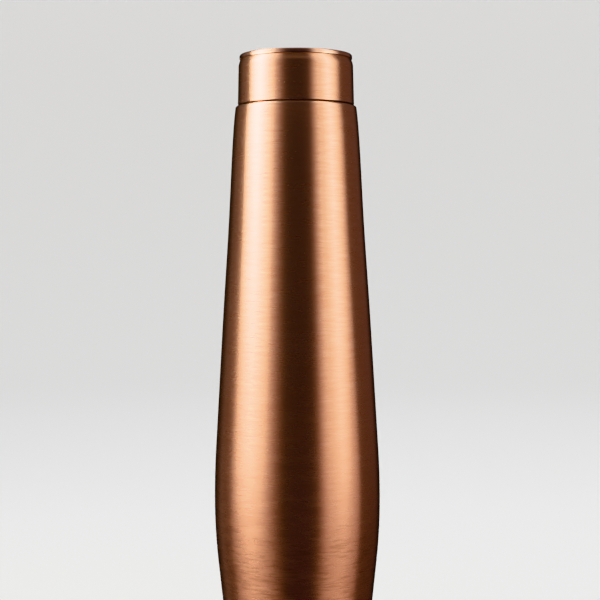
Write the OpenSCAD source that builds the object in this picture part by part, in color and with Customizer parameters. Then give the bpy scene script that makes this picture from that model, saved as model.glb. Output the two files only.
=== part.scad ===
// Screw-cap copper water bottle.
//
// A spun copper shell holds the water. A base pan is seamed into its foot, a neck sleeve with a rolled
// thread is brazed through its shoulder, and a double-walled cap screws down onto a silicone ring.
// The bottle stands on its foot ring at z = 0 with its axis on Z. All sizes are in millimetres.

/* [Bottle] */
// Height from the foot to the rim of the closed cap
bottle_h = 283.3; // [270:0.1:300]
// Diameter at the widest place, the belly
belly_d = 76; // [72:0.5:80]
// Height of the belly above the foot
belly_z = 80; // [70:1:90]
// Diameter across the foot ring
foot_d = 61.8; // [60:0.2:66]
// Diameter that the upper taper would reach at the shoulder
shoulder_d = 56.4; // [56:0.1:60]
// Radius of the side's curve above the belly
upper_curve_r = 400; // [350:10:600]
// Radius of the side's curve below the belly
lower_curve_r = 270; // [250:5:330]

/* [Sheet] */
// Thickness of the copper sheet
sheet = 0.6; // [0.5:0.05:0.7]
// Thickness of the cap's top disc
disc_sheet = 0.5; // [0.4:0.05:0.5]

/* [Cap] */
// Height of the cap
cap_h = 23; // [22.6:0.1:26]
// Diameter at the cap's lower edge
cap_d = 53.2; // [53:0.1:53.8]
// How much narrower the cap's wall is at its upper end
cap_draft = 0.8; // [0:0.1:0.8]
// Diameter over the seamed rim on top of the cap
rim_d = 51.5; // [51.2:0.1:51.8]
// Gap between the cap's lower edge and the shoulder when the cap is closed
cap_gap = 0.5; // [0.3:0.1:0.8]

/* [Thread] */
// Lift of the cap in one turn
pitch = 5; // [4.8:0.1:5.4]
// Turns of thread on the neck and in the cap
thread_turns = 2; // [1.5:0.25:2]
// Height of the rolled thread
thread_h = 1.4; // [1:0.1:1.5]

/* [Seal] */
// Thickness of the silicone ring
seal_t = 2; // [1.5:0.1:2.2]

/* [Hidden] */
$fn = 96;

copper = [0.80, 0.46, 0.30];
braze_metal = [0.84, 0.74, 0.52];
solder_metal = [0.78, 0.78, 0.76];
silicone = [0.90, 0.89, 0.86];

fit_gap = 0.05;      // between pieces that are seamed or brazed together

// Heights
cap_z = bottle_h - cap_h;               // the cap's lower edge
ledge_z = cap_z - cap_gap;              // top of the shoulder's flat ledge
cup_z = cap_z + sheet + fit_gap;        // underside of the thread cup's flange
rim_w = 2 * disc_sheet + sheet + 2 * fit_gap;  // width of the cap's rolled rim
rim_depth = 2.1;                        // from the cap's rim down to its top disc
cup_top_z = bottle_h - rim_depth - 2.4; // underside of the thread cup's closed end
seal_z = cup_top_z - fit_gap - seal_t;  // underside of the silicone ring
lip_z = seal_z - fit_gap;               // top of the neck's rolled lip

// Body
belly_r = belly_d / 2;
foot_r = foot_d / 2;
shoulder_r = shoulder_d / 2;
side_steps = 40;     // conical bands that make up the curved side
pinch = 0.6;         // how far the side draws in at the shoulder
pinch_len = 7;       // and the height in which that fades out
waist = 0.3;         // depth of a slight hollow in the taper below the cap
waist_z = 0.725 * bottle_h;  // height where the hollow is deepest
waist_len = 28;      // and the height in which it fades out, up and down
shoulder_round = 1;
foot_round = 0.7;
seam_h = 3.5;        // height of the hem that grips the base pan

// Base pan
seam_w = sheet + 2 * fit_gap;  // room for the pan's flange inside the hem
pan_r = foot_r - sheet - fit_gap;
pan_z = 5;           // underside of the pan at its edge
pan_dome = 1.6;      // rise of the pan's centre
pan_round = 1.2;

// Neck and thread
neck_r = 21.6;                          // outside of the neck sleeve
lip_round = 0.85;
thread_steps = 30;                      // facets in each turn of thread
thread_fade = 40;                       // degrees in which a thread end sinks into its wall
thread_root_w = 3.1;
thread_crest_w = 1.3;
thread_clear = 0.35;                    // between the crest of one thread and the wall of the other
cup_r = neck_r + thread_h + thread_clear;
thread_z = lip_z - 13.4;                // middle of the neck thread's lower end
cup_lead = 225;                         // degrees by which the cap's thread starts before the neck's
flank = (thread_root_w - thread_crest_w) / 2 / thread_h;
flank_sheet = sheet * sqrt(1 + flank * flank);  // the sheet's thickness along Z on a thread's flank
bury = 0.3;                             // how deep a thread's root reaches into its wall

// Points on an arc about (r, z) from angle a to angle b
function arc(r, z, radius, a, b, steps) =
    [for (i = [0:steps]) let (t = a + (b - a) * i / steps) [r + radius * cos(t), z + radius * sin(t)]];

// Angle at which a straight taper from a point leaves the belly's curve. The point lies at radius r and
// at height h from the belly
function taper_angle(r, h, curve) =
    let (dx = r - belly_r + curve) atan2(h, dx) - acos(curve / norm([dx, h]));

upper_angle = taper_angle(shoulder_r, ledge_z - belly_z, upper_curve_r);
lower_angle = taper_angle(foot_r, belly_z, lower_curve_r);

// Radius of a curve about the belly that runs straight beyond the given angle
function side_r(h, curve, angle) =
    let (bend = curve * sin(angle))
    h < bend
        ? belly_r - curve + sqrt(curve * curve - h * h)
        : belly_r - curve + curve * cos(angle) - (h - bend) * tan(angle);

// Outside radius of the body at height z
function body_r(z) = z < belly_z
    ? side_r(belly_z - z, lower_curve_r, lower_angle)
    : side_r(z - belly_z, upper_curve_r, upper_angle) - pinch * exp((z - ledge_z) / pinch_len)
        - waist * exp(-pow((z - waist_z) / waist_len, 2));

cap_wall_top = bottle_h - 5.2;  // where the cap's wall turns in to its shoulder

// Radius of the cap's wall at height z
function cap_r(z) = cap_d / 2 - cap_draft / 2 * (z - cap_z) / (cap_wall_top - cap_z);

// The body's side from bottom to top, moved inwards by the given distance
function side(inset, z0, z1) =
    [for (i = [0:side_steps]) let (z = z0 + (z1 - z0) * i / side_steps) [body_r(z) - inset, z]];

function reverse(list) = [for (i = [len(list) - 1:-1:0]) list[i]];

// One ring of four points of a thread at turn angle t. Its root lies at root_r and its crest at crest_r
function thread_ring(t, root_r, root_hw, crest_r, crest_hw) = [
    for (p = [[root_r, -root_hw], [crest_r, -crest_hw], [crest_r, crest_hw], [root_r, root_hw]])
        [p[0] * cos(t), p[0] * sin(t), p[1] + pitch * t / 360]
];

// A ridge carried up a right-hand helix. At both ends its crest sinks to low_r
module helix(root_r, root_hw, crest_r, crest_hw, low_r) {
    rings = thread_turns * thread_steps;
    turn = thread_turns * 360;
    points = [
        for (i = [0:rings])
            let (t = turn * i / rings, share = min(1, t / thread_fade, (turn - t) / thread_fade))
            each thread_ring(t, root_r, root_hw, low_r + (crest_r - low_r) * share, crest_hw)
    ];
    sides = [
        for (i = [0:rings - 1], j = [0:3])
            let (a = 4 * i + j, b = 4 * i + (j + 1) % 4)
            each [[a, b, a + 4], [b, b + 4, a + 4]]
    ];
    ends = [[3, 2, 1, 0], [for (j = [0:3]) 4 * rings + j]];
    faces = concat(sides, ends);
    inwards = crest_r < root_r;
    polyhedron(points, inwards ? [for (f = faces) reverse(f)] : faces);
}

// Half the width of a neck thread at radius r, and of a cap thread at radius r
function neck_hw(r) = thread_root_w / 2 - flank * (r - neck_r);
function cup_hw(r) = thread_root_w / 2 - flank * (cup_r - r);

// Shell of the bottle: foot hem, curved side, shoulder and ledge
module body_shell() {
    hem_r = foot_r - sheet - seam_w;
    shoulder_z = ledge_z - shoulder_round;
    shoulder_c = body_r(shoulder_z) - shoulder_round;
    outer = concat(
        arc(foot_r - foot_round, foot_round, foot_round, -90, 0, 6),
        side(0, foot_round + 0.5, shoulder_z),
        arc(shoulder_c, shoulder_z, shoulder_round, 8, 90, 8),
        [[neck_r + fit_gap, ledge_z]]
    );
    inner = concat(
        [[neck_r + fit_gap, ledge_z - sheet]],
        reverse(arc(shoulder_c, shoulder_z, shoulder_round - sheet, 8, 90, 8)),
        reverse(side(sheet, sheet, shoulder_z)),
        [[hem_r, sheet]],
        [[hem_r, seam_h]],
        [[hem_r - sheet, seam_h]],
        arc(hem_r, sheet, sheet, 180, 270, 5)
    );
    color(copper) rotate_extrude() polygon(concat(outer, inner));
}

// Domed pan that closes the foot, with a flange that stands down into the hem
module base_pan() {
    edge_r = pan_r - pan_round;
    dome_r = (edge_r * edge_r + pan_dome * pan_dome) / 2 / pan_dome;
    dome_angle = asin(edge_r / dome_r);
    top_z = pan_z + sheet;
    dome_c = pan_z + pan_dome - dome_r;
    color(copper) rotate_extrude() polygon(concat(
        [[pan_r - sheet, sheet + fit_gap], [pan_r, sheet + fit_gap]],
        arc(edge_r, top_z - pan_round, pan_round, 0, 90 - dome_angle, 6),
        arc(0, dome_c + sheet, dome_r, 90 - dome_angle, 90, 10),
        arc(0, dome_c, dome_r, 90, 90 - dome_angle, 10),
        arc(edge_r, top_z - pan_round, pan_round - sheet, 90 - dome_angle, 0, 5)
    ));
}

// Fillet of braze where the pan meets the inside of the wall
module base_braze_ring() {
    low_z = pan_z - 1.2;
    high_z = pan_z + sheet + 1;
    inner_r = pan_r + 0.02;
    color(braze_metal) rotate_extrude() polygon([
        [inner_r, low_z],
        [body_r(low_z) - sheet - 0.02, low_z],
        [body_r(high_z) - sheet - 0.02, high_z],
        [inner_r, pan_z + sheet]
    ]);
}

// Neck: a sleeve through the shoulder, with a flange below the ledge, a rolled thread and a rolled lip
module neck_sleeve() {
    flange_r = neck_r + 3;
    flange_z = ledge_z - sheet - fit_gap;
    bore_r = neck_r - sheet;
    crest_r = neck_r + thread_h;
    groove_r = crest_r - sheet;
    root_r = neck_r - bury;
    open_r = bore_r - sheet;
    color(copper) difference() {
        union() {
            rotate_extrude() polygon([
                [bore_r, flange_z - sheet],
                [flange_r, flange_z - sheet],
                [flange_r, flange_z],
                [neck_r, flange_z],
                [neck_r, lip_z - lip_round],
                [bore_r, lip_z - lip_round]
            ]);
            translate([0, 0, lip_z - lip_round])
                rotate_extrude() translate([neck_r - lip_round, 0]) circle(lip_round);
            translate([0, 0, thread_z])
                helix(root_r, neck_hw(root_r), crest_r, thread_crest_w / 2, root_r + 0.1);
        }
        translate([0, 0, thread_z])
            helix(open_r, neck_hw(open_r) - flank_sheet, groove_r, neck_hw(groove_r) - flank_sheet,
                root_r + 0.1 - sheet);
    }
}

// Fillet of braze around the neck, on the ledge
module neck_braze_ring() {
    inner_r = neck_r + 0.02;
    leg = 0.8;
    base_z = ledge_z + 0.02;
    color(braze_metal) rotate_extrude() difference() {
        translate([inner_r, base_z]) square(leg);
        translate([inner_r + leg, base_z + leg]) circle(leg - 0.05);
    }
}

// Silicone ring that seals the cap on the lip
module seal_ring() {
    outer_r = cup_r - 0.25;
    inner_r = neck_r - 3;
    round_r = 0.5;
    color(silicone) translate([0, 0, seal_z]) rotate_extrude() polygon(concat(
        arc(inner_r + round_r, round_r, round_r, 180, 270, 4),
        arc(outer_r - round_r, round_r, round_r, 270, 360, 4),
        arc(outer_r - round_r, seal_t - round_r, round_r, 0, 90, 4),
        arc(inner_r + round_r, seal_t - round_r, round_r, 90, 180, 4)
    ));
}

// Threaded inner cup of the cap, closed at the top and flanged at its mouth
module cap_thread_cup() {
    flange_r = cap_r(cup_z) - sheet - fit_gap;
    outer_r = cup_r + sheet;
    top_z = cup_top_z + sheet;
    round_r = 1.2;
    crest_r = cup_r - thread_h;
    root_r = cup_r + bury;
    open_r = outer_r + sheet;
    groove_r = crest_r + sheet;
    // half a pitch above the neck's thread, so that the two mesh
    start_z = thread_z + pitch / 2 - pitch * cup_lead / 360;
    color(copper) difference() {
        union() {
            rotate_extrude() polygon(concat(
                [[cup_r, cup_z], [flange_r, cup_z], [flange_r, cup_z + sheet], [outer_r, cup_z + sheet]],
                arc(outer_r - round_r, top_z - round_r, round_r, 0, 90, 6),
                [[0, top_z], [0, cup_top_z]],
                arc(outer_r - round_r, top_z - round_r, round_r - sheet, 90, 0, 5)
            ));
            rotate(-cup_lead) translate([0, 0, start_z])
                helix(root_r, cup_hw(root_r), crest_r, thread_crest_w / 2, root_r - 0.1);
        }
        rotate(-cup_lead) translate([0, 0, start_z])
            helix(open_r, cup_hw(open_r) - flank_sheet, groove_r, cup_hw(groove_r) - flank_sheet,
                root_r - 0.1 + sheet);
    }
}

// Fillet of solder between the thread cup's flange and the cap's wall
module cap_solder_ring() {
    low_z = cup_z + sheet + 0.02;
    outer_r = cap_r(low_z + 1) - sheet - 0.02;
    color(solder_metal) rotate_extrude() polygon([
        [outer_r - 1, low_z],
        [outer_r, low_z],
        [outer_r, low_z + 1]
    ]);
}

// Outer wall of the cap: an edge turned in at the bottom and a soft shoulder that narrows to the rim's seam
module cap_shell() {
    lip_r = cap_d / 2 - 1.8;
    edge_round = 0.6;
    wall_r = cap_r(cap_wall_top);
    neck_in_r = rim_d / 2 - disc_sheet - fit_gap;
    draw_in = wall_r - neck_in_r;
    shoulder_h = 3.3;
    seam_top_z = bottle_h - rim_w / 2;
    shoulder = [
        for (i = [1:10])
            [wall_r - draw_in * pow(i / 10, 1.5), cap_wall_top + shoulder_h * i / 10]
    ];
    outer = concat(
        [[lip_r, cap_z]],
        arc(cap_d / 2 - edge_round, cap_z + edge_round, edge_round, -90, 0, 5),
        [[wall_r, cap_wall_top]],
        shoulder,
        [[neck_in_r, seam_top_z]]
    );
    inner = concat(
        [[neck_in_r - sheet, seam_top_z]],
        reverse([for (p = shoulder) [p[0] - sheet, p[1] - 0.1]]),
        [[wall_r - sheet, cap_wall_top]],
        [[cap_r(cap_z + sheet) - sheet, cap_z + sheet]],
        [[lip_r, cap_z + sheet]]
    );
    color(copper) rotate_extrude() polygon(concat(outer, inner));
}

// Top disc of the cap, sunk below a rim that is rolled over the edge of the cap's wall
module cap_top_disc() {
    rim_r = rim_d / 2;
    rim_c = rim_r - rim_w / 2;
    rim_z = bottle_h - rim_w / 2;
    hook_z = bottle_h - 1.9;
    well_r = rim_r - rim_w;
    well_z = bottle_h - rim_depth;
    dome = 0.5;
    crease = 0.6;
    color(copper) rotate_extrude() polygon(concat(
        [[rim_r - disc_sheet, hook_z], [rim_r, hook_z]],
        arc(rim_c, rim_z, rim_w / 2, 0, 180, 12),
        arc(well_r - crease, well_z + crease, crease, 0, -90, 4),
        [for (i = [1:6]) [(well_r - crease) * (1 - i / 6), well_z + dome * sin(i * 15)]],
        [for (i = [6:-1:1]) [(well_r - crease) * (1 - i / 6), well_z - disc_sheet + dome * sin(i * 15)]],
        arc(well_r - crease, well_z + crease, crease + disc_sheet, -90, 0, 4),
        arc(rim_c, rim_z, rim_w / 2 - disc_sheet, 180, 0, 12)
    ));
}

body_shell();
base_pan();
base_braze_ring();
neck_sleeve();
neck_braze_ring();
seal_ring();
cap_thread_cup();
cap_solder_ring();
cap_shell();
cap_top_disc();
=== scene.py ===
"""Looks for the copper water bottle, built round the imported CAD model. All sizes are in metres, +Z is up.

The sheet pieces and the seal are replaced by smooth pieces of the same shape, and the braze and solder rings
only get a material. A smooth piece is an outline of (radius, height) points turned about Z. The neck and the
cap's thread cup also have a rolled thread pressed into their walls.
"""

import math

import bmesh
import bpy
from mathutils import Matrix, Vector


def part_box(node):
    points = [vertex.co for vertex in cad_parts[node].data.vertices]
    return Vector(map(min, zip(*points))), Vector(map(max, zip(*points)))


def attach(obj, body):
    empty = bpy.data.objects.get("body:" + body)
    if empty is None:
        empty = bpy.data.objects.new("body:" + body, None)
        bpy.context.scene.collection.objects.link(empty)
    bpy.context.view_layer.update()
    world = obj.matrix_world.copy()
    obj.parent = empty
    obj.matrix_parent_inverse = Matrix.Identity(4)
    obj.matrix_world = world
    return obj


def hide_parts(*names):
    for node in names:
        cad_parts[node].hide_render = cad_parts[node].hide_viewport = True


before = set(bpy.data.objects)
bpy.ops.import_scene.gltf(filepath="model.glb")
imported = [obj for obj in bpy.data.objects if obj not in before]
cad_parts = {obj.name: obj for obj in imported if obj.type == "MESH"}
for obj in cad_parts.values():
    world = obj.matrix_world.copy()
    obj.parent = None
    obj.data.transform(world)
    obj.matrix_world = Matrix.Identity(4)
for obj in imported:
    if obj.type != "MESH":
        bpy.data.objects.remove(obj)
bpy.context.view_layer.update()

# ---------------------------------------------------------------- sizes

MM = 0.001
SHEET = 0.6 * MM
DISC_SHEET = 0.5 * MM
FIT_GAP = 0.05 * MM

body_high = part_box("body_shell")[1]
shell_low, shell_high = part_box("cap_shell")
disc_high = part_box("cap_top_disc")[1]
neck_low, neck_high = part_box("neck_sleeve")
cup_low, cup_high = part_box("cap_thread_cup")
seal_low, seal_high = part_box("seal_ring")
pan_low, pan_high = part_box("base_pan")

BELLY_R = body_high.x
LEDGE_Z = body_high.z
BELLY_Z = 80 * MM
FOOT_R = 30.9 * MM
SHOULDER_R = 28.2 * MM
UPPER_CURVE_R = 400 * MM
LOWER_CURVE_R = 270 * MM
PINCH = 0.6 * MM
PINCH_LEN = 7 * MM
WAIST = 0.3 * MM
WAIST_LEN = 28 * MM
SHOULDER_ROUND = 1 * MM
FOOT_ROUND = 0.7 * MM
SEAM_H = 3.5 * MM

CAP_Z = shell_low.z
CAP_R = shell_high.x
TOP_Z = disc_high.z
RIM_R = disc_high.x
RIM_W = 2 * DISC_SHEET + SHEET + 2 * FIT_GAP
CAP_DRAFT = 0.4 * MM
WAIST_Z = 0.725 * TOP_Z
CAP_WALL_TOP = TOP_Z - 5.2 * MM
CAP_SHOULDER = 3.3 * MM
HOOK_Z = TOP_Z - 1.9 * MM

PITCH = 5 * MM
THREAD_H = 1.4 * MM
THREAD_TURNS = 2
THREAD_ROOT = 3.1 * MM
THREAD_CREST = 1.3 * MM
THREAD_CLEAR = 0.35 * MM
THREAD_FADE = math.radians(40)
NECK_R = neck_high.x - 3 * MM
CUP_R = NECK_R + THREAD_H + THREAD_CLEAR
LIP_Z = neck_high.z
THREAD_Z = LIP_Z - 13.4 * MM
CUP_LEAD = math.radians(225)

SEGMENTS = 288          # round the axis
SIDE_STEPS = 120        # up the bottle's curved side
STEP = 0.4 * MM         # longest step along a threaded outline


def arc(r, z, radius, start, end, steps=12):
    """Points on an arc about (r, z), from one angle to another, in degrees."""
    angles = [math.radians(start + (end - start) * i / steps) for i in range(steps + 1)]
    return [(r + radius * math.cos(a), z + radius * math.sin(a)) for a in angles]


def line(a, b, step):
    """Points from a towards b, without b, no further apart than the step."""
    count = max(1, math.ceil(math.dist(a, b) / step))
    return [(a[0] + (b[0] - a[0]) * i / count, a[1] + (b[1] - a[1]) * i / count) for i in range(count)]


def taper_angle(radius, height, curve):
    """Angle at which a straight taper leaves the belly's curve. The taper ends at a radius, at a height from
    the belly."""
    across = radius - BELLY_R + curve
    return math.atan2(height, across) - math.acos(curve / math.hypot(across, height))


UPPER_ANGLE = taper_angle(SHOULDER_R, LEDGE_Z - BELLY_Z, UPPER_CURVE_R)
LOWER_ANGLE = taper_angle(FOOT_R, BELLY_Z, LOWER_CURVE_R)


def side_radius(height, curve, angle):
    """Radius at a height from the belly, on its curve and then on the straight taper."""
    bend = curve * math.sin(angle)
    if height < bend:
        return BELLY_R - curve + math.sqrt(curve * curve - height * height)
    return BELLY_R - curve + curve * math.cos(angle) - (height - bend) * math.tan(angle)


def body_radius(z):
    """Outside radius of the bottle's wall at height z."""
    if z < BELLY_Z:
        return side_radius(BELLY_Z - z, LOWER_CURVE_R, LOWER_ANGLE)
    pinch = PINCH * math.exp((z - LEDGE_Z) / PINCH_LEN)
    waist = WAIST * math.exp(-((z - WAIST_Z) / WAIST_LEN) ** 2)
    return side_radius(z - BELLY_Z, UPPER_CURVE_R, UPPER_ANGLE) - pinch - waist


def cap_radius(z):
    """Outside radius of the cap's wall at height z."""
    return CAP_R - CAP_DRAFT * (z - CAP_Z) / (CAP_WALL_TOP - CAP_Z)


# ---------------------------------------------------------------- mesh tools

def edge_wear_and_highlight(outline):
    """How much each point of an outline stands out as a convex edge: 0 on a flat, 1 on a sharp corner.
    The material pales these edges, partly as real rubbing and partly as a painted highlight.
    """
    reach = 0.6 * MM
    full = math.radians(70)
    pairs = zip(outline, outline[1:] + outline[:1])
    headings = [math.atan2(after[1] - here[1], after[0] - here[0]) for here, after in pairs]
    turns = [math.remainder(headings[i] - headings[i - 1], 2 * math.pi) for i in range(len(outline))]
    wear_and_highlight = []
    for here in outline:
        nearness = [math.exp(-(math.dist(here, there) / reach) ** 2) for there in outline]
        bend = sum(turn * near for turn, near in zip(turns, nearness))
        wear_and_highlight.append(min(1, max(0, bend / full)))
    return wear_and_highlight


def turned(name, outline, shift=None, grime=None, segments=SEGMENTS, closed=True):
    """A body of revolution from an outline, closed or open. shift(angle, z) moves a point outwards. Each
    vertex keeps how far along the outline it lies, how much it stands out as an edge (real rubbing and a
    painted highlight in the material) and, from grime(r, z), how oxidised."""
    count = len(outline)
    # convex edges, which the material paints paler: real rubbing plus a painted highlight
    wear_and_highlight = edge_wear_and_highlight(outline)
    lengths = [0]
    for a, b in zip(outline, outline[1:]):
        lengths.append(lengths[-1] + math.dist(a, b))
    mesh = bmesh.new()
    along_layer = mesh.verts.layers.float.new("along")
    wear_and_highlight_layer = mesh.verts.layers.float.new("wear_and_highlight")
    grime_layer = mesh.verts.layers.float.new("grime")
    rings = []
    for i in range(segments):
        angle = 2 * math.pi * i / segments
        ring = []
        for k, (r, z) in enumerate(outline):
            out = r + (shift(angle, z) if shift else 0)
            vert = mesh.verts.new((out * math.cos(angle), out * math.sin(angle), z))
            vert[along_layer] = lengths[k]
            vert[wear_and_highlight_layer] = wear_and_highlight[k]
            vert[grime_layer] = grime(r, z) if grime else 0
            ring.append(vert)
        rings.append(ring)
    for i in range(segments):
        here, there = rings[i], rings[(i + 1) % segments]
        for k in range(count if closed else count - 1):
            after = (k + 1) % count
            if outline[k][0] == 0 and outline[after][0] == 0:
                continue
            mesh.faces.new((here[k], there[k], there[after], here[after]))
    bmesh.ops.remove_doubles(mesh, verts=mesh.verts, dist=1e-7)
    bmesh.ops.recalc_face_normals(mesh, faces=mesh.faces)
    data = bpy.data.meshes.new(name)
    mesh.to_mesh(data)
    mesh.free()
    data.shade_smooth()
    data.set_sharp_from_angle(angle=math.radians(40))
    made = bpy.data.objects.new(name, data)
    bpy.context.scene.collection.objects.link(made)
    return made


def stands_for(piece, node, body, material):
    """Puts a piece in a CAD node's place, on that node's body and with its material slot."""
    piece.data.materials.append(material)
    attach(piece, body)
    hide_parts(node)


def smooth(t):
    """0 below 0, 1 above 1 and a soft step between."""
    t = min(1, max(0, t))
    return t * t * (3 - 2 * t)


def thread(start_z, start_angle):
    """Gives a shift for turned(): how far a thread that starts at a height and an angle lifts the wall."""
    length = THREAD_TURNS * 2 * math.pi

    def height(angle, z):
        most = 0
        for turn in range(-1, THREAD_TURNS + 2):
            along = angle - start_angle + 2 * math.pi * turn
            if not 0 <= along <= length:
                continue
            fade = smooth(along / THREAD_FADE) * smooth((length - along) / THREAD_FADE)
            away = abs(z - start_z - PITCH * along / (2 * math.pi))
            ridge = smooth((THREAD_ROOT / 2 - away) / (THREAD_ROOT / 2 - THREAD_CREST / 2))
            most = max(most, THREAD_H * ridge * fade)
        return most
    return height


# ---------------------------------------------------------------- materials

def nodes_of(name):
    """A new material, its node tree and its Principled BSDF."""
    material = bpy.data.materials.new(name)
    material.use_nodes = True
    tree = material.node_tree
    return material, tree, tree.nodes["Principled BSDF"]


def add(tree, kind, **values):
    """A new node. Names with a capital are its sockets' values, and other names are its settings."""
    node = tree.nodes.new(kind)
    for key, value in values.items():
        if key[0].isupper():
            node.inputs[key.replace("_", " ")].default_value = value
        else:
            setattr(node, key, value)
    return node


def noise(tree, vector, scale, tilt=(0, 0, 0), detail=3, roughness=0.6):
    """Noise over a position. scale is features a metre along X, Y and Z."""
    mapping = add(tree, "ShaderNodeMapping", Rotation=tilt, Scale=scale)
    pattern = add(tree, "ShaderNodeTexNoise", Scale=1, Detail=detail, Roughness=roughness)
    tree.links.new(vector, mapping.inputs["Vector"])
    tree.links.new(mapping.outputs["Vector"], pattern.inputs["Vector"])
    return pattern.outputs["Fac"]


def place(tree):
    """The position in the object's own space."""
    return add(tree, "ShaderNodeTexCoord").outputs["Object"]


def kept(tree, name):
    """A number that turned() keeps on each vertex."""
    return add(tree, "ShaderNodeAttribute", attribute_name=name).outputs["Fac"]


def axes_of(tree, vector):
    """A vector's parts, as sockets named X, Y and Z."""
    parts = add(tree, "ShaderNodeSeparateXYZ")
    tree.links.new(vector, parts.inputs["Vector"])
    return parts.outputs


def lathe_place(tree):
    """The position with the distance along the outline in place of Z, so that marks round the axis stay as
    fine on a flat end as on a wall."""
    axes = axes_of(tree, place(tree))
    joined = add(tree, "ShaderNodeCombineXYZ")
    tree.links.new(axes["X"], joined.inputs["X"])
    tree.links.new(axes["Y"], joined.inputs["Y"])
    tree.links.new(kept(tree, "along"), joined.inputs["Z"])
    return joined.outputs["Vector"]


def spread(tree, value, low, high, to_low=0, to_high=1):
    """Maps a value from one range to another, held at the ends."""
    node = add(tree, "ShaderNodeMapRange", From_Min=low, From_Max=high, To_Min=to_low, To_Max=to_high)
    tree.links.new(value, node.inputs["Value"])
    return node.outputs["Result"]


def mix(tree, factor, a, b):
    """Blends two colours, each a colour or a socket."""
    node = add(tree, "ShaderNodeMix", data_type="RGBA")
    tree.links.new(factor, node.inputs["Factor"])
    for socket, value in ((node.inputs[6], a), (node.inputs[7], b)):
        if isinstance(value, tuple):
            socket.default_value = (*value, 1)
        else:
            tree.links.new(value, socket)
    return node.outputs[2]


def maths(tree, what, a, b):
    """One operation on two values, each a number or a socket."""
    node = add(tree, "ShaderNodeMath", operation=what)
    for socket, value in zip(node.inputs, (a, b)):
        if isinstance(value, (int, float)):
            socket.default_value = value
        else:
            tree.links.new(value, socket)
    return node.outputs["Value"]


def total(tree, *terms):
    """The sum of (socket, share) terms."""
    result = 0
    for socket, share in terms:
        result = maths(tree, "ADD", result, maths(tree, "MULTIPLY", socket, share))
    return result


def relief(tree, surface, height, strength, distance):
    """Shades a surface as if it stood out by the distance where the height is 1."""
    bump = add(tree, "ShaderNodeBump", Strength=strength, Distance=distance)
    tree.links.new(height, bump.inputs["Height"])
    tree.links.new(bump.outputs["Normal"], surface.inputs["Normal"])


def specks(tree, vector, spacing, size, chance):
    """Small round spots, 1 inside and 0 outside, on a share of the points of a random grid."""
    cells = add(tree, "ShaderNodeTexVoronoi", Scale=1 / spacing)
    tree.links.new(vector, cells.inputs["Vector"])
    inside = spread(tree, cells.outputs["Distance"], size / spacing, 0.4 * size / spacing)
    parts = add(tree, "ShaderNodeSeparateColor")
    tree.links.new(cells.outputs["Color"], parts.inputs["Color"])
    chosen = maths(tree, "LESS_THAN", parts.outputs["Red"], chance)
    return maths(tree, "MULTIPLY", inside, chosen)


def brushed_copper(name, bright, dull, roughness):
    """Satin copper brushed round the axis: fine, slightly tilted marks over faint clouds of tarnish, a few
    dark specks, paler edges that are partly real rubbing and partly a painted highlight, and oxide where
    turned() keeps some grime. Low on the bottle the marks are deeper and the copper is redder and less even."""
    reddened = (0.88, 0.40, 0.25)
    scratched = (0.55, 0.24, 0.13)
    # paler copper for the edges: partly real rubbing, partly a painted highlight
    rubbed_highlight = (0.95, 0.66, 0.54)
    specked = (0.30, 0.12, 0.06)
    oxidised = (0.17, 0.065, 0.03)
    material, tree, surface = nodes_of(name)
    lathe = lathe_place(tree)
    where = place(tree)
    tilt = math.radians(1.5)
    fine = noise(tree, lathe, (140, 140, 2700), (0, tilt, 0), detail=2)
    middle = noise(tree, lathe, (140, 140, 1300), (0, tilt, 0), detail=1)
    coarse = noise(tree, lathe, (110, 110, 600), (0, -tilt / 2, 0), detail=1)
    marks = total(tree, (fine, 0.3), (middle, 0.35), (coarse, 0.35))
    clouds = noise(tree, where, (16, 16, 22), detail=3)
    patches = noise(tree, where, (70, 70, 300))
    stains = noise(tree, where, (170, 170, 240), detail=4, roughness=0.7)
    low = spread(tree, axes_of(tree, where)["Z"], 190 * MM, 50 * MM)
    depth = spread(tree, low, 0.2, 1, 0.12, 0.75)
    grain = maths(tree, "SUBTRACT", marks, 0.5)
    grooves = maths(tree, "MULTIPLY", grain, depth)
    scratches = spread(tree, maths(tree, "MULTIPLY", middle, low), 0.48, 0.64, 0, 0.55)
    shade = total(tree, (marks, 1.3), (clouds, 0.35), (low, -0.07))
    spots = specks(tree, where, 9 * MM, 0.35 * MM, 0.3)
    oxide = spread(tree, total(tree, (kept(tree, "grime"), 1), (stains, 0.5)), 0.35, 1)
    # painted highlight on convex edges, mixed with real rubbing: the edges go paler and smoother
    worn_and_highlit = maths(tree, "MULTIPLY", kept(tree, "wear_and_highlight"), spread(tree, stains, 0.3, 0.6, 0.5, 1))
    colour = mix(tree, spread(tree, shade, 0.685, 0.965), dull, bright)
    colour = mix(tree, maths(tree, "MULTIPLY", low, 0.45), colour, reddened)
    colour = mix(tree, scratches, colour, scratched)
    colour = mix(tree, worn_and_highlit, colour, rubbed_highlight)
    colour = mix(tree, maths(tree, "MULTIPLY", spots, 0.6), colour, specked)
    colour = mix(tree, oxide, colour, oxidised)
    tree.links.new(colour, surface.inputs["Base Color"])
    uneven = maths(tree, "MULTIPLY", maths(tree, "SUBTRACT", patches, 0.5), low)
    rough = total(tree, (grain, -0.035), (uneven, 0.15), (oxide, 0.25), (worn_and_highlit, -0.08))
    rough = maths(tree, "ADD", roughness, rough)
    tree.links.new(rough, surface.inputs["Roughness"])
    relief(tree, surface, grooves, 0.3, 0.015 * MM)
    tangent = add(tree, "ShaderNodeTangent", direction_type="RADIAL", axis="Z")
    tree.links.new(tangent.outputs["Tangent"], surface.inputs["Tangent"])
    surface.inputs["Metallic"].default_value = 1
    surface.inputs["Anisotropic"].default_value = 0.7
    surface.inputs["Anisotropic Rotation"].default_value = 0.25
    return material


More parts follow.
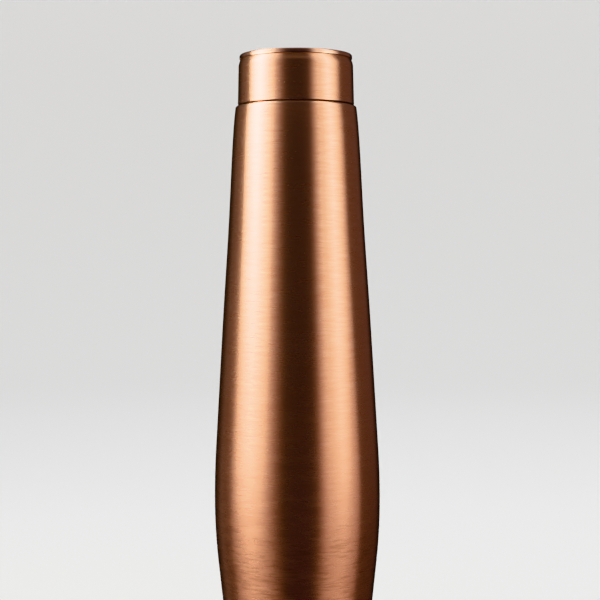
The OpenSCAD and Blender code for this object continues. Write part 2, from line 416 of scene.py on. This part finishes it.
def plain_metal(name, bright, dull, roughness):
    """Metal that was formed and left: fine grain, faint stains."""
    material, tree, surface = nodes_of(name)
    where = place(tree)
    grain = noise(tree, where, (900, 900, 1400), detail=3)
    stains = noise(tree, where, (60, 60, 80), detail=4)
    shade = total(tree, (grain, 0.4), (stains, 0.6))
    tree.links.new(mix(tree, spread(tree, shade, 0.35, 0.65), dull, bright), surface.inputs["Base Color"])
    rough = spread(tree, shade, 0.3, 0.7, roughness + 0.08, roughness - 0.05)
    tree.links.new(rough, surface.inputs["Roughness"])
    relief(tree, surface, grain, 0.2, 0.03 * MM)
    surface.inputs["Metallic"].default_value = 1
    return material


def silicone(name):
    """Matte translucent white silicone with a fine moulded grain."""
    material, tree, surface = nodes_of(name)
    where = place(tree)
    grain = noise(tree, where, (1500, 1500, 1500), detail=2)
    cloud = noise(tree, where, (90, 90, 90), detail=3)
    colour = mix(tree, spread(tree, cloud, 0.3, 0.7), (0.74, 0.72, 0.66), (0.82, 0.81, 0.77))
    tree.links.new(colour, surface.inputs["Base Color"])
    tree.links.new(spread(tree, grain, 0.3, 0.7, 0.42, 0.55), surface.inputs["Roughness"])
    relief(tree, surface, grain, 0.15, 0.03 * MM)
    surface.inputs["Subsurface Weight"].default_value = 0.3
    surface.inputs["Subsurface Radius"].default_value = (0.002, 0.0018, 0.0015)
    surface.inputs["IOR"].default_value = 1.41
    return material


satin = brushed_copper("satin_copper", (0.94, 0.50, 0.33), (0.86, 0.42, 0.26), 0.27)
bare = plain_metal("bare_copper", (0.93, 0.49, 0.33), (0.72, 0.33, 0.20), 0.30)
brazing = plain_metal("brazing_alloy", (0.86, 0.66, 0.42), (0.70, 0.50, 0.30), 0.35)
solder = plain_metal("tin_solder", (0.72, 0.72, 0.70), (0.55, 0.55, 0.54), 0.35)
rubber = silicone("white_silicone")

# ---------------------------------------------------------------- the bottle

def body_outline():
    """Foot hem, curved side, rounded shoulder and the ledge round the neck."""
    hem_r = FOOT_R - SHEET - (SHEET + 2 * FIT_GAP)
    shoulder_z = LEDGE_Z - SHOULDER_ROUND
    centre = body_radius(shoulder_z) - SHOULDER_ROUND
    side_lean = 8    # degrees, at the shoulder
    heights = [FOOT_ROUND + (shoulder_z - FOOT_ROUND) * i / SIDE_STEPS for i in range(1, SIDE_STEPS + 1)]
    outer = arc(FOOT_R - FOOT_ROUND, FOOT_ROUND, FOOT_ROUND, -90, 0)
    outer += [(body_radius(z), z) for z in heights]
    outer += arc(centre, shoulder_z, SHOULDER_ROUND, side_lean, 90, 16)
    outer += [(NECK_R + FIT_GAP, LEDGE_Z)]
    inner = [(NECK_R + FIT_GAP, LEDGE_Z - SHEET)]
    inner += arc(centre, shoulder_z, SHOULDER_ROUND - SHEET, 90, side_lean, 16)
    inner += [(body_radius(z) - SHEET, z) for z in reversed(heights)]
    inner += [(hem_r, SHEET), (hem_r, SEAM_H), (hem_r - SHEET, SEAM_H)]
    inner += arc(hem_r, SHEET, SHEET, 180, 270)
    return outer + inner


def pan_outline():
    """Domed base pan with its flange."""
    pan_r = FOOT_R - SHEET - FIT_GAP
    pan_round = 1.2 * MM
    dome = 1.6 * MM
    pan_z = pan_high.z - SHEET - dome
    edge_r = pan_r - pan_round
    dome_r = (edge_r ** 2 + dome ** 2) / 2 / dome
    lean = math.degrees(math.asin(edge_r / dome_r))
    top_z = pan_z + SHEET
    centre = pan_z + dome - dome_r
    upper = arc(0, centre + SHEET, dome_r, 90 - lean, 90, 40)
    lower = arc(0, centre, dome_r, 90, 90 - lean, 40)
    upper[-1] = (0, upper[-1][1])
    lower[0] = (0, lower[0][1])
    outline = [(pan_r - SHEET, pan_low.z), (pan_r, pan_low.z)]
    outline += arc(edge_r, top_z - pan_round, pan_round, 0, 90 - lean)
    outline += upper + lower
    return outline + arc(edge_r, top_z - pan_round, pan_round - SHEET, 90 - lean, 0)


def neck_outline():
    """Sleeve with a flange below the ledge and a rolled lip."""
    lip = 0.85 * MM
    lip_turn = 250    # degrees that the lip rolls round
    bore_r = NECK_R - SHEET
    flange_r = neck_high.x
    flange_z = neck_low.z + SHEET
    outline = [(bore_r, neck_low.z), (flange_r, neck_low.z), (flange_r, flange_z)]
    outline += line((NECK_R, flange_z), (NECK_R, LIP_Z - lip), STEP)
    outline += arc(NECK_R - lip, LIP_Z - lip, lip, 0, lip_turn, 24)
    outline += line((bore_r, LIP_Z - 2 * lip), (bore_r, neck_low.z), STEP)
    return outline


def cup_outline():
    """Thread cup of the cap, closed above and flanged at its mouth."""
    flange_r = cup_high.x
    outer_r = CUP_R + SHEET
    top_z = cup_high.z
    corner = 1.2 * MM
    mouth_z = cup_low.z
    outline = [(CUP_R, mouth_z), (flange_r, mouth_z), (flange_r, mouth_z + SHEET)]
    outline += line((outer_r, mouth_z + SHEET), (outer_r, top_z - corner), STEP)
    outline += arc(outer_r - corner, top_z - corner, corner, 0, 90)
    outline += [(0, top_z), (0, top_z - SHEET)]
    outline += arc(outer_r - corner, top_z - corner, corner - SHEET, 90, 0)
    outline += line((CUP_R, top_z - corner), (CUP_R, mouth_z), STEP)[1:]
    return outline


def shell_outline():
    """Outer wall of the cap: an edge turned in at the bottom and a soft shoulder below the rim's seam."""
    lip_r = CAP_R - 1.8 * MM
    edge = 0.6 * MM
    wall_r = cap_radius(CAP_WALL_TOP)
    neck_r = RIM_R - DISC_SHEET - FIT_GAP
    seam_top = TOP_Z - RIM_W / 2
    rises = [i / 24 for i in range(1, 25)]
    shoulder = [
        (wall_r - (wall_r - neck_r) * rise ** 1.5, CAP_WALL_TOP + CAP_SHOULDER * rise) for rise in rises
    ]
    wall_z = CAP_Z + 1.2 * MM
    outer = [(lip_r, CAP_Z)] + arc(CAP_R - edge, CAP_Z + edge, edge, -90, 0)
    outer += line((cap_radius(wall_z), wall_z), (wall_r, CAP_WALL_TOP), 1 * MM)
    outer += [(wall_r, CAP_WALL_TOP)] + shoulder + [(neck_r, seam_top)]
    inner = [(neck_r - SHEET, seam_top)] + [(r - SHEET, z - 0.1 * MM) for r, z in reversed(shoulder)]
    inner += [(wall_r - SHEET, CAP_WALL_TOP), (cap_radius(CAP_Z + SHEET) - SHEET, CAP_Z + SHEET)]
    return outer + inner + [(lip_r, CAP_Z + SHEET)]


def disc_outline():
    """Top disc of the cap, sunk below its rolled rim."""
    rim_c = RIM_R - RIM_W / 2
    rim_z = TOP_Z - RIM_W / 2
    well_r = RIM_R - RIM_W
    well_z = TOP_Z - 2.1 * MM
    crease = 0.6 * MM
    dome = 0.5 * MM
    edge_r = well_r - crease
    rows = [(1 - i / 30, dome * math.sin(math.pi / 2 * i / 30)) for i in range(1, 31)]
    outline = [(RIM_R - DISC_SHEET, HOOK_Z), (RIM_R, HOOK_Z)]
    outline += arc(rim_c, rim_z, RIM_W / 2, 0, 180, 24)
    outline += arc(edge_r, well_z + crease, crease, 0, -90, 8)
    outline += [(edge_r * share, well_z + rise) for share, rise in rows]
    outline += [(edge_r * share, well_z + rise - DISC_SHEET) for share, rise in reversed(rows)]
    outline += arc(edge_r, well_z + crease, crease + DISC_SHEET, -90, 0, 8)
    return outline + arc(rim_c, rim_z, RIM_W / 2 - DISC_SHEET, 180, 0, 24)


def seal_outline():
    """Silicone ring with rounded edges."""
    inner_r = NECK_R - 3 * MM
    outer_r = seal_high.x
    low, high, edge = seal_low.z, seal_high.z, 0.5 * MM
    outline = arc(inner_r + edge, low + edge, edge, 180, 270)
    outline += arc(outer_r - edge, low + edge, edge, 270, 360)
    outline += arc(outer_r - edge, high - edge, edge, 0, 90)
    return outline + arc(inner_r + edge, high - edge, edge, 90, 180)


cup_start = THREAD_Z + PITCH / 2 - PITCH * CUP_LEAD / (2 * math.pi)
neck_thread = thread(THREAD_Z, 0)
cup_thread = thread(cup_start, -CUP_LEAD)


def neck_shift(angle, z):
    """The neck's thread, which stands outwards above the ledge."""
    return neck_thread(angle, z) if z > LEDGE_Z else 0


def cup_shift(angle, z):
    """The thread cup's thread, which stands inwards above the flange."""
    return -cup_thread(angle, z) if z > cup_low.z + SHEET else 0


def body_grime(r, z):
    """Oxide on the inside, on the ledge under the cap and at the foot's seam."""
    if z > LEDGE_Z - 0.2 * MM:
        return smooth((SHOULDER_R - 1.1 * MM - r) / (0.5 * MM))
    return 0.35 if r < body_radius(z) - SHEET / 2 else 0


def shell_grime(r, z):
    """Oxide under the cap's edge, inside it, and in the groove below the rim."""
    under = smooth((CAP_Z + 0.35 * MM - z) / (0.3 * MM))
    inside = 0.35 if r < cap_radius(z) - SHEET / 2 and z < CAP_WALL_TOP else 0
    crease = 0.7 * smooth((z - HOOK_Z + 0.45 * MM) / (0.4 * MM))
    return max(under, inside, crease)


body_wall = turned("body_wall", body_outline(), grime=body_grime)
foot_pan = turned("foot_pan", pan_outline())
threaded_neck = turned("threaded_neck", neck_outline(), neck_shift)
seal = turned("seal", seal_outline())
thread_cup = turned("thread_cup", cup_outline(), cup_shift)
cap_wall = turned("cap_wall", shell_outline(), grime=shell_grime)
cap_disc = turned("cap_disc", disc_outline())

stands_for(body_wall, "body_shell", "bottle", satin)
stands_for(foot_pan, "base_pan", "bottle", satin)
stands_for(threaded_neck, "neck_sleeve", "bottle", bare)
stands_for(seal, "seal_ring", "seal", rubber)
stands_for(thread_cup, "cap_thread_cup", "cap", bare)
stands_for(cap_wall, "cap_shell", "cap", satin)
stands_for(cap_disc, "cap_top_disc", "cap", satin)

ring_metals = {"base_braze_ring": brazing, "neck_braze_ring": brazing, "cap_solder_ring": solder}
for node, material in ring_metals.items():
    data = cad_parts[node].data
    data.materials.clear()
    data.materials.append(material)

# ---------------------------------------------------------------- stage

def graded(tree, value, stops):
    """A value's level between the (value, level) stops."""
    low, high = stops[0][0], stops[-1][0]
    top = max(level for at, level in stops)
    ramp = add(tree, "ShaderNodeValToRGB")
    for i, (at, level) in enumerate(stops):
        share = (at - low) / (high - low)
        stop = ramp.color_ramp.elements[i] if i < 2 else ramp.color_ramp.elements.new(share)
        stop.position = share
        stop.color = (level / top, level / top, level / top, 1)
    tree.links.new(spread(tree, value, low, high), ramp.inputs["Fac"])
    return maths(tree, "MULTIPLY", ramp.outputs["Color"], top)


def glowing(name, corners):
    """A card that glows, seen only by reflections and lighting. Gives it, its node tree and its glow."""
    data = bpy.data.meshes.new(name)
    data.from_pydata(corners, [], [(0, 1, 2, 3)])
    made = bpy.data.objects.new(name, data)
    bpy.context.scene.collection.objects.link(made)
    made.visible_camera = False
    made.visible_shadow = False
    material = bpy.data.materials.new(name)
    material.use_nodes = True
    tree = material.node_tree
    tree.nodes.clear()
    glow = add(tree, "ShaderNodeEmission")
    out = add(tree, "ShaderNodeOutputMaterial")
    tree.links.new(glow.outputs["Emission"], out.inputs["Surface"])
    data.materials.append(material)
    return made, tree, glow


def side_card(name, x, core_colour, layers):
    """An upright card beside the bottle, as large as its first layer. A layer holds (y, level) stops along
    the card, (z, share) stops up it and how far it leans forward in each metre down from z = 0. The layers
    add up. The light is pinkish where it is weak and takes the core's colour where it is strong."""
    depth, height = layers[0][:2]
    front, back = depth[0][0], depth[-1][0]
    low, high = height[0][0], height[-1][0]
    card, tree, glow = glowing(name, [(x, front, low), (x, back, low), (x, back, high), (x, front, high)])
    card.visible_diffuse = False    # or its dark ends would shade the floor that it stands through
    axes = axes_of(tree, place(tree))
    light = 0
    for depth, height, lean in layers:
        leant = total(tree, (axes["Y"], 1), (axes["Z"], -lean))
        level = graded(tree, leant, depth)
        share = graded(tree, axes["Z"], height)
        light = maths(tree, "ADD", light, maths(tree, "MULTIPLY", level, share))
    tree.links.new(light, glow.inputs["Strength"])
    colour = mix(tree, spread(tree, light, 0.3, 1.3), (1, 0.82, 0.86), core_colour)
    tree.links.new(colour, glow.inputs["Color"])


def top_card(name, z, front, back, half_width, level, colour):
    """A level card above the bottle."""
    corners = [(-half_width, front, z), (half_width, front, z), (half_width, back, z), (-half_width, back, z)]
    glow = glowing(name, corners)[2]
    glow.inputs["Strength"].default_value = level
    glow.inputs["Color"].default_value = (*colour, 1)


# a broad softbox with a hot core on each side, brighter towards the top
side_card("left_softbox", -0.62, (1, 1.17, 1.03), [
    (
        [(-2.2, 0.02), (-1.5, 0.1), (-1.1, 0.25), (-0.85, 0.52), (-0.57, 0.98), (-0.27, 1.35), (-0.1, 1.1),
         (0.1, 0.6), (0.13, 0.26), (0.35, 0.16)],
        [(-1.5, 1), (-0.75, 1), (-0.45, 0.32), (-0.2, 0.54), (-0.1, 0.55), (0, 0.68), (0.2, 1), (1.6, 1)],
        0
    ),
    (
        [(-0.74, 0), (-0.54, 3), (-0.4, 10), (-0.29, 21.5), (-0.16, 13), (-0.06, 4.2), (0.01, 0)],
        [(0.06, 0), (0.11, 0.1), (0.2, 0.16), (0.3, 0.44), (0.37, 1), (1, 1)],
        0.28
    )
])
side_card("right_softbox", 0.62, (1, 1.13, 1), [
    (
        [(-1.5, 0.03), (-1.1, 0.16), (-0.9, 0.5), (-0.65, 1.05), (-0.43, 1.15), (-0.27, 1.25), (-0.1, 0.9),
         (0.03, 0.6), (0.07, 0), (0.08, 0.145), (0.7, 0.145), (1.1, 0.03)],
        [(-1.5, 1), (-0.75, 1), (-0.45, 0.32), (-0.2, 0.57), (-0.1, 0.6), (0, 0.74), (0.2, 1), (1.6, 1)],
        0
    ),
    (
        [(-0.5, 0), (-0.38, 1), (-0.28, 3.5), (-0.2, 1.9), (-0.1, 0.3), (0.02, 0)],
        [(0.05, 0), (0.125, 0.25), (0.2, 0.75), (0.37, 1), (1, 1)],
        0
    )
])
top_card("back_softbox", 1.3, 0, 1.5, 0.7, 0.5, (1, 1.05, 1.25))
top_card("front_softbox", 1.1, -1.6, -0.9, 0.8, 0.24, (1, 0.92, 0.85))


def sweep(name, radius, bend, height):
    """A round floor whose edge curves up into a wall, all the way round. Reflections pass through it to the
    cards' lower ends."""
    outline = line((0, 0), (radius, 0), 0.1) + arc(radius, bend, bend, -90, 0, 24) + [(radius + bend, height)]
    made = turned(name, outline, segments=96, closed=False)
    made.visible_glossy = False
    made.visible_shadow = False
    material, tree, surface = nodes_of(name)
    surface.inputs["Base Color"].default_value = (0.5, 0.5, 0.5, 1)
    surface.inputs["Roughness"].default_value = 0.9
    surface.inputs["Emission Color"].default_value = (1, 0.99, 0.97, 1)
    surface.inputs["Emission Strength"].default_value = 0.43
    made.data.materials.append(material)


sweep("floor", 1.6, 1.0, 4.0)


def floor_lamp(name, location, size, watts):
    """A soft lamp that shines down on the floor for the bottle's shadow. The copper doesn't reflect it."""
    light = bpy.data.lights.new(name, "AREA")
    light.shape = "DISK"
    light.size = size
    light.energy = watts
    lamp = bpy.data.objects.new(name, light)
    bpy.context.scene.collection.objects.link(lamp)
    lamp.location = location
    lamp.visible_glossy = False


floor_lamp("floor_lamp", (0.2, -0.2, 1.4), 0.7, 8)


def room(levels, low_colour, front_colour, back_colour):
    """A dim room. levels holds (y, level) stops, where a direction's y runs from -1 in front to 1 behind.
    The front takes another colour towards the floor."""
    world = bpy.data.worlds.new("room")
    bpy.context.scene.world = world
    world.use_nodes = True
    tree = world.node_tree
    axes = axes_of(tree, add(tree, "ShaderNodeTexCoord").outputs["Generated"])
    backdrop = tree.nodes["Background"]
    tree.links.new(graded(tree, axes["Y"], levels), backdrop.inputs["Strength"])
    front = mix(tree, spread(tree, axes["Z"], -0.45, 0), low_colour, front_colour)
    colour = mix(tree, spread(tree, axes["Y"], -0.6, 0.3), front, back_colour)
    tree.links.new(colour, backdrop.inputs["Color"])


room([(-1, 0.043), (-0.6, 0.043), (0.3, 0.13), (0.65, 0.15), (0.8, 0.06), (0.88, 0.02), (1, 0.01)],
     (1.3, 1.35, 2), (1, 1, 1.3), (1, 0.92, 0.94))
bpy.context.scene.view_settings.view_transform = "Khronos PBR Neutral"

# two thirds of the way up the bottle, turned down a little
camera_pitch = math.radians(1.485)
camera_roll = math.radians(0.2)
lens = bpy.data.cameras.new("camera")
lens.lens = 90
lens.sensor_width = 36
lens.clip_start = 0.01
camera = bpy.data.objects.new("camera", lens)
bpy.context.scene.collection.objects.link(camera)
camera.location = (0.0016, -0.69, 0.189)
camera.rotation_euler = (math.pi / 2 - camera_pitch, camera_roll, 0)
bpy.context.scene.camera = camera
